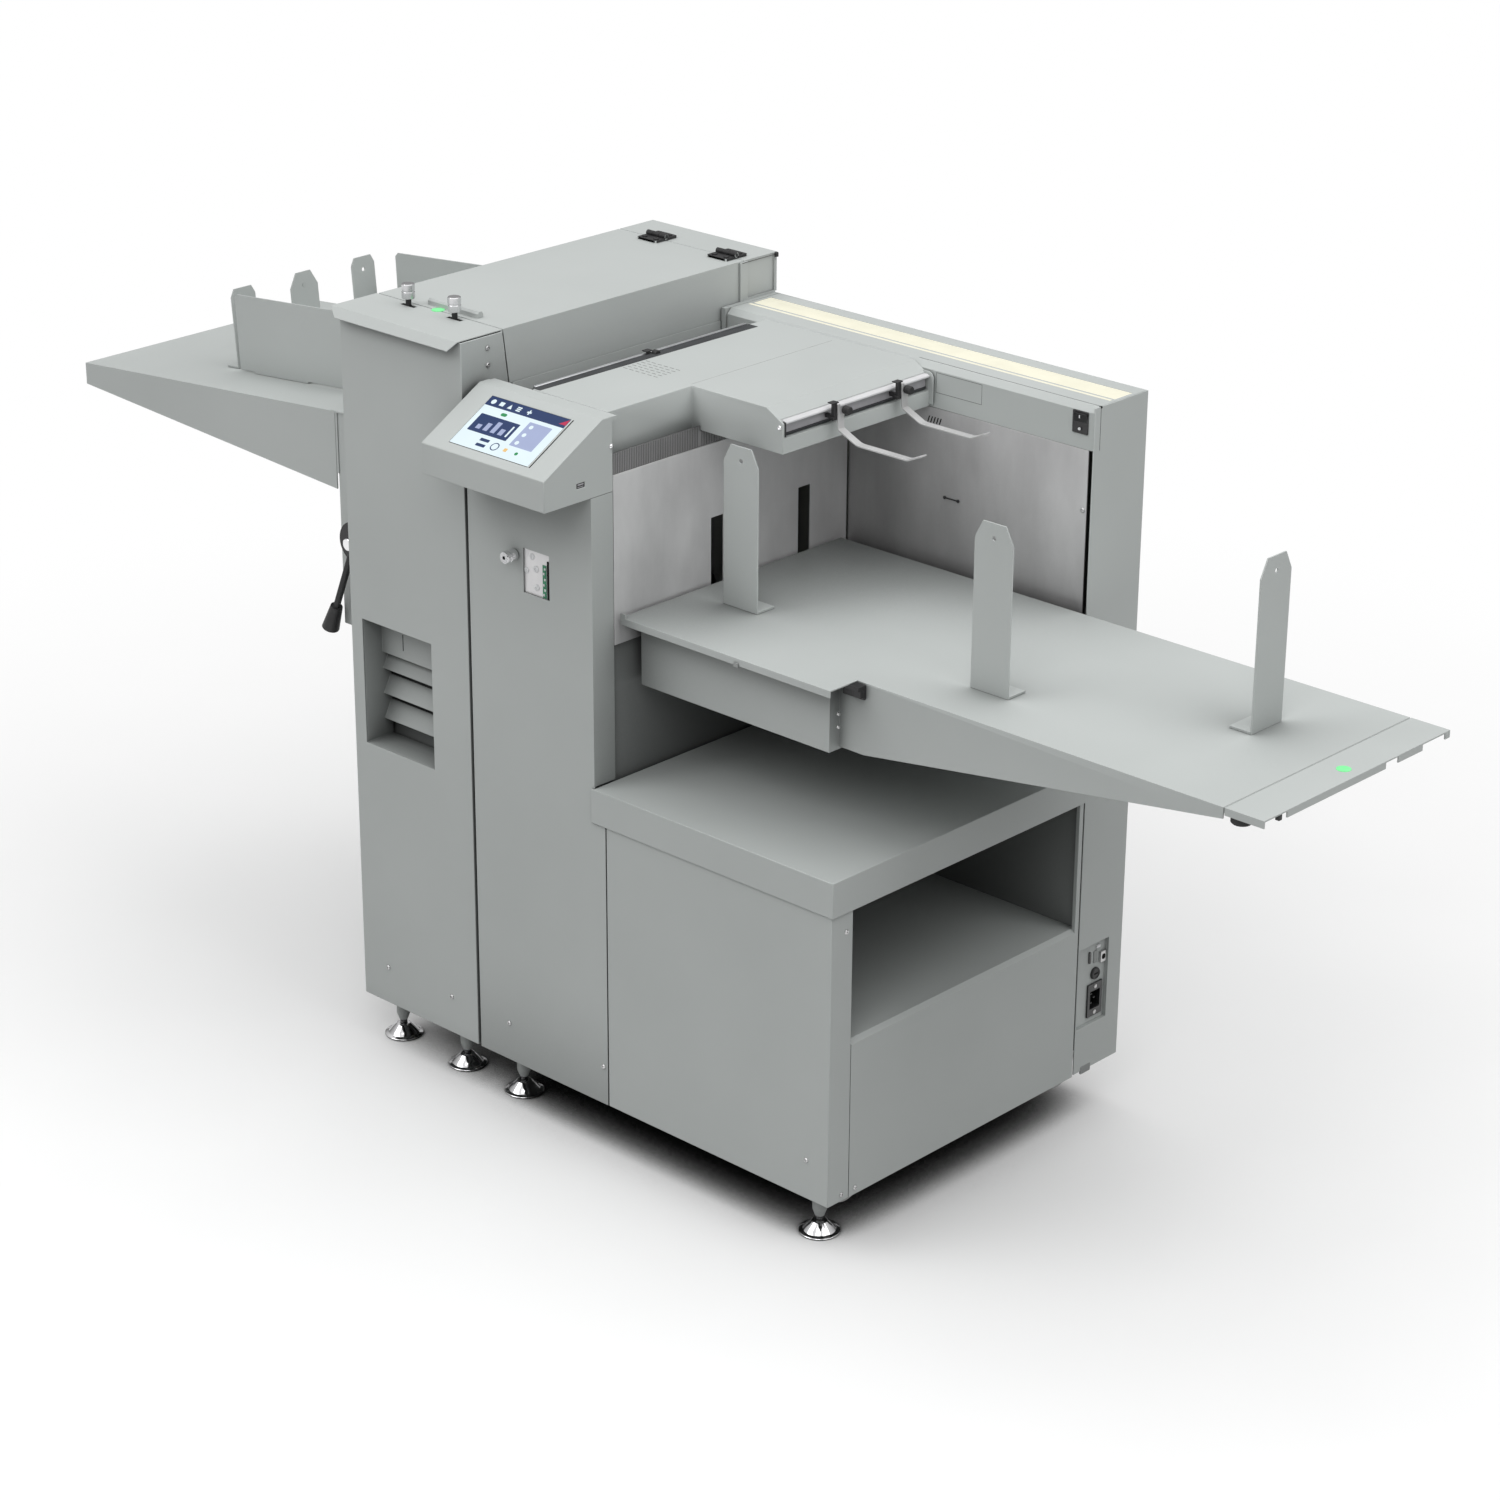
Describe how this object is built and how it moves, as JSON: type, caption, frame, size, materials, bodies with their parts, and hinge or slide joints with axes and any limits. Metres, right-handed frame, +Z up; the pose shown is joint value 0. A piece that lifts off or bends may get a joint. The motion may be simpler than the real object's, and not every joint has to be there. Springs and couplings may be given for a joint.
{
  "type": "paper creasing and folding machine",
  "caption": "Floor-standing sheet creasing and folding machine: tall tower with hinged hood, lift-table feeder, sloped touch-screen box and delivery tray.",
  "frame": {"origin": "on the floor, under the middle of the footprint", "axes": "+X from the delivery tray towards the feed table, +Y from the operator's side to the back, +Z up"},
  "size_m": [2.168, 0.703, 1.152],
  "materials": {
    "grey_paint": "fine satin powder coat, light grey",
    "bare_steel": "bare sheet steel, cloudy zinc",
    "chrome": "polished",
    "aluminium": "satin anodised",
    "black_plastic": "satin moulded",
    "black_paint": "satin",
    "rubber": "matt",
    "screen_glass": "gloss display face",
    "lens": "frosted diffuser"
  },
  "bodies": {
    "machine": {"base_frame": "grey_paint", "foot_tower_left": "chrome", "foot_tower_right": "chrome", "foot_base_left": "chrome", "foot_base_right": "chrome", "foot_rear_left": "chrome", "foot_rear_right": "chrome", "cabinet_front_cover": "grey_paint", "cabinet_side_cover": "grey_paint", "shelf_cover": "grey_paint", "tower_frame": "grey_paint", "drive_motor": "black_paint", "tower_front_cover": "grey_paint", "louvre_panel": "grey_paint", "tower_rear_cover": "grey_paint", "infill_cover": "grey_paint", "scale_plate": "bare_steel", "top_plate": "grey_paint", "hood_hinge_left": "black_plastic", "hood_hinge_right": "black_plastic", "rear_housing": "grey_paint", "inlet_panel": "bare_steel", "mains_inlet": "black_plastic", "console_shell": "grey_paint", "light_lens": "lens", "control_box": "grey_paint", "touch_screen": "screen_glass", "feed_head": "grey_paint", "head_rail": "aluminium", "lay_plate": "bare_steel", "rear_guide_plate": "bare_steel", "lift_rails": "bare_steel", "delivery_tray": "grey_paint", "delivery_bracket": "grey_paint"},
    "hood": {"hood": "grey_paint"},
    "feed_table": {"feed_table": "grey_paint"},
    "tail_plate": {"tail_plate": "grey_paint"},
    "paddle_front_left": {"paddle_front_left": "grey_paint"},
    "paddle_front_right": {"paddle_front_right": "grey_paint"},
    "paddle_end": {"paddle_end": "grey_paint"},
    "hook_front": {"hook_front": "aluminium"},
    "hook_rear": {"hook_rear": "aluminium"},
    "thumb_knob_front": {"thumb_knob_front": "black_plastic"},
    "thumb_knob_rear": {"thumb_knob_rear": "black_plastic"},
    "tray_guide_front": {"tray_guide_front": "grey_paint"},
    "tray_guide_rear": {"tray_guide_rear": "grey_paint"},
    "tray_stop_front": {"tray_stop_front": "grey_paint"},
    "tray_stop_middle": {"tray_stop_middle": "grey_paint"},
    "tray_stop_rear": {"tray_stop_rear": "grey_paint"},
    "top_knob_left": {"top_knob_left": "chrome"},
    "top_knob_right": {"top_knob_right": "chrome"},
    "setting_knob": {"setting_knob": "chrome"},
    "power_switch": {"power_switch": "black_plastic"},
    "side_lever": {"side_lever": "black_plastic"},
    "castor_wheel_front": {"castor_wheel_front": "rubber"},
    "castor_wheel_rear": {"castor_wheel_rear": "rubber"},
    "feed_roller_lower": {"feed_roller_lower": "rubber"},
    "feed_roller_upper": {"feed_roller_upper": "rubber"},
    "crease_beam": {"crease_beam": "bare_steel"},
    "suction_drum": {"suction_drum": "aluminium"}
  },
  "joints": [
    {"name": "hood_hinge", "type": "hinge", "parent": "machine", "child": "hood", "pos_m": [-0.302, 0.2825, 1.1255], "axis": [-1, 0, 0], "range_deg": [0, 75]},
    {"name": "table_lift", "type": "slide", "parent": "machine", "child": "feed_table", "axis": [0, 0, 1], "range_m": [-0.035, 0.195]},
    {"name": "tail_slide", "type": "slide", "parent": "feed_table", "child": "tail_plate", "axis": [1, 0, 0], "range_m": [0, 0.15]},
    {"name": "paddle_front_left_slide", "type": "slide", "parent": "feed_table", "child": "paddle_front_left", "axis": [0, 1, 0], "range_m": [-0.075, 0.02]},
    {"name": "paddle_front_right_slide", "type": "slide", "parent": "feed_table", "child": "paddle_front_right", "axis": [0, 1, 0], "range_m": [-0.075, 0.1]},
    {"name": "paddle_end_slide", "type": "slide", "parent": "feed_table", "child": "paddle_end", "axis": [1, 0, 0], "range_m": [-0.25, 0.1]},
    {"name": "hook_front_slide", "type": "slide", "parent": "machine", "child": "hook_front", "axis": [0, 1, 0], "range_m": [-0.07, 0.08]},
    {"name": "hook_rear_slide", "type": "slide", "parent": "machine", "child": "hook_rear", "axis": [0, 1, 0], "range_m": [-0.08, 0.04]},
    {"name": "thumb_knob_front_turn", "type": "hinge", "parent": "hook_front", "child": "thumb_knob_front", "pos_m": [0.235, 0.0485, 1.041], "axis": [1, 0, 0], "continuous": true},
    {"name": "thumb_knob_rear_turn", "type": "hinge", "parent": "hook_rear", "child": "thumb_knob_rear", "pos_m": [0.235, 0.1715, 1.041], "axis": [1, 0, 0], "continuous": true},
    {"name": "tray_guide_front_slide", "type": "slide", "parent": "machine", "child": "tray_guide_front", "axis": [0, 1, 0], "range_m": [-0.07, 0.1]},
    {"name": "tray_guide_rear_slide", "type": "slide", "parent": "machine", "child": "tray_guide_rear", "axis": [0, 1, 0], "range_m": [-0.1, 0.05]},
    {"name": "tray_stop_front_slide", "type": "slide", "parent": "machine", "child": "tray_stop_front", "axis": [0.996, 0, 0.0891], "range_m": [-0.18, 0.04]},
    {"name": "tray_stop_middle_slide", "type": "slide", "parent": "machine", "child": "tray_stop_middle", "axis": [0.996, 0, 0.0891], "range_m": [-0.18, 0.04]},
    {"name": "tray_stop_rear_slide", "type": "slide", "parent": "machine", "child": "tray_stop_rear", "axis": [0.996, 0, 0.0891], "range_m": [-0.18, 0.04]},
    {"name": "top_knob_left_slide", "type": "slide", "parent": "machine", "child": "top_knob_left", "axis": [1, 0, 0], "range_m": [-0.008, 0.008]},
    {"name": "top_knob_right_slide", "type": "slide", "parent": "machine", "child": "top_knob_right", "axis": [1, 0, 0], "range_m": [-0.008, 0.008]},
    {"name": "setting_knob_turn", "type": "hinge", "parent": "machine", "child": "setting_knob", "pos_m": [-0.076, -0.2775, 0.846], "axis": [0, 1, 0], "continuous": true},
    {"name": "power_switch_rock", "type": "hinge", "parent": "machine", "child": "power_switch", "pos_m": [0.4765, 0.2395, 1.0385], "axis": [1, 0, 0], "range_deg": [-12, 0]},
    {"name": "side_lever_swing", "type": "hinge", "parent": "machine", "child": "side_lever", "pos_m": [-0.461, -0.2175, 0.754], "axis": [0, 1, 0], "range_deg": [-22, 60]},
    {"name": "castor_front_roll", "type": "hinge", "parent": "machine", "child": "castor_wheel_front", "pos_m": [0.481, -0.2195, 0.099], "axis": [1, 0, 0], "continuous": true},
    {"name": "castor_rear_roll", "type": "hinge", "parent": "machine", "child": "castor_wheel_rear", "pos_m": [0.481, 0.2235, 0.099], "axis": [1, 0, 0], "continuous": true},
    {"name": "feed_roller_lower_turn", "type": "hinge", "parent": "machine", "child": "feed_roller_lower", "pos_m": [-0.224, 0.0325, 0.9687], "axis": [0, 1, 0], "continuous": true},
    {"name": "feed_roller_upper_turn", "type": "hinge", "parent": "machine", "child": "feed_roller_upper", "pos_m": [-0.224, 0.0325, 1.0093], "axis": [0, 1, 0], "continuous": true},
    {"name": "crease_beam_stroke", "type": "slide", "parent": "machine", "child": "crease_beam", "axis": [0, 0, 1], "range_m": [-0.008, 0.003]},
    {"name": "suction_drum_turn", "type": "hinge", "parent": "machine", "child": "suction_drum", "pos_m": [-0.019, 0.0325, 1.027], "axis": [0, 1, 0], "continuous": true}
  ],
  "couplings": [
    {"joint": "feed_roller_upper_turn", "follows": "feed_roller_lower_turn", "ratio": -1}
  ]
}
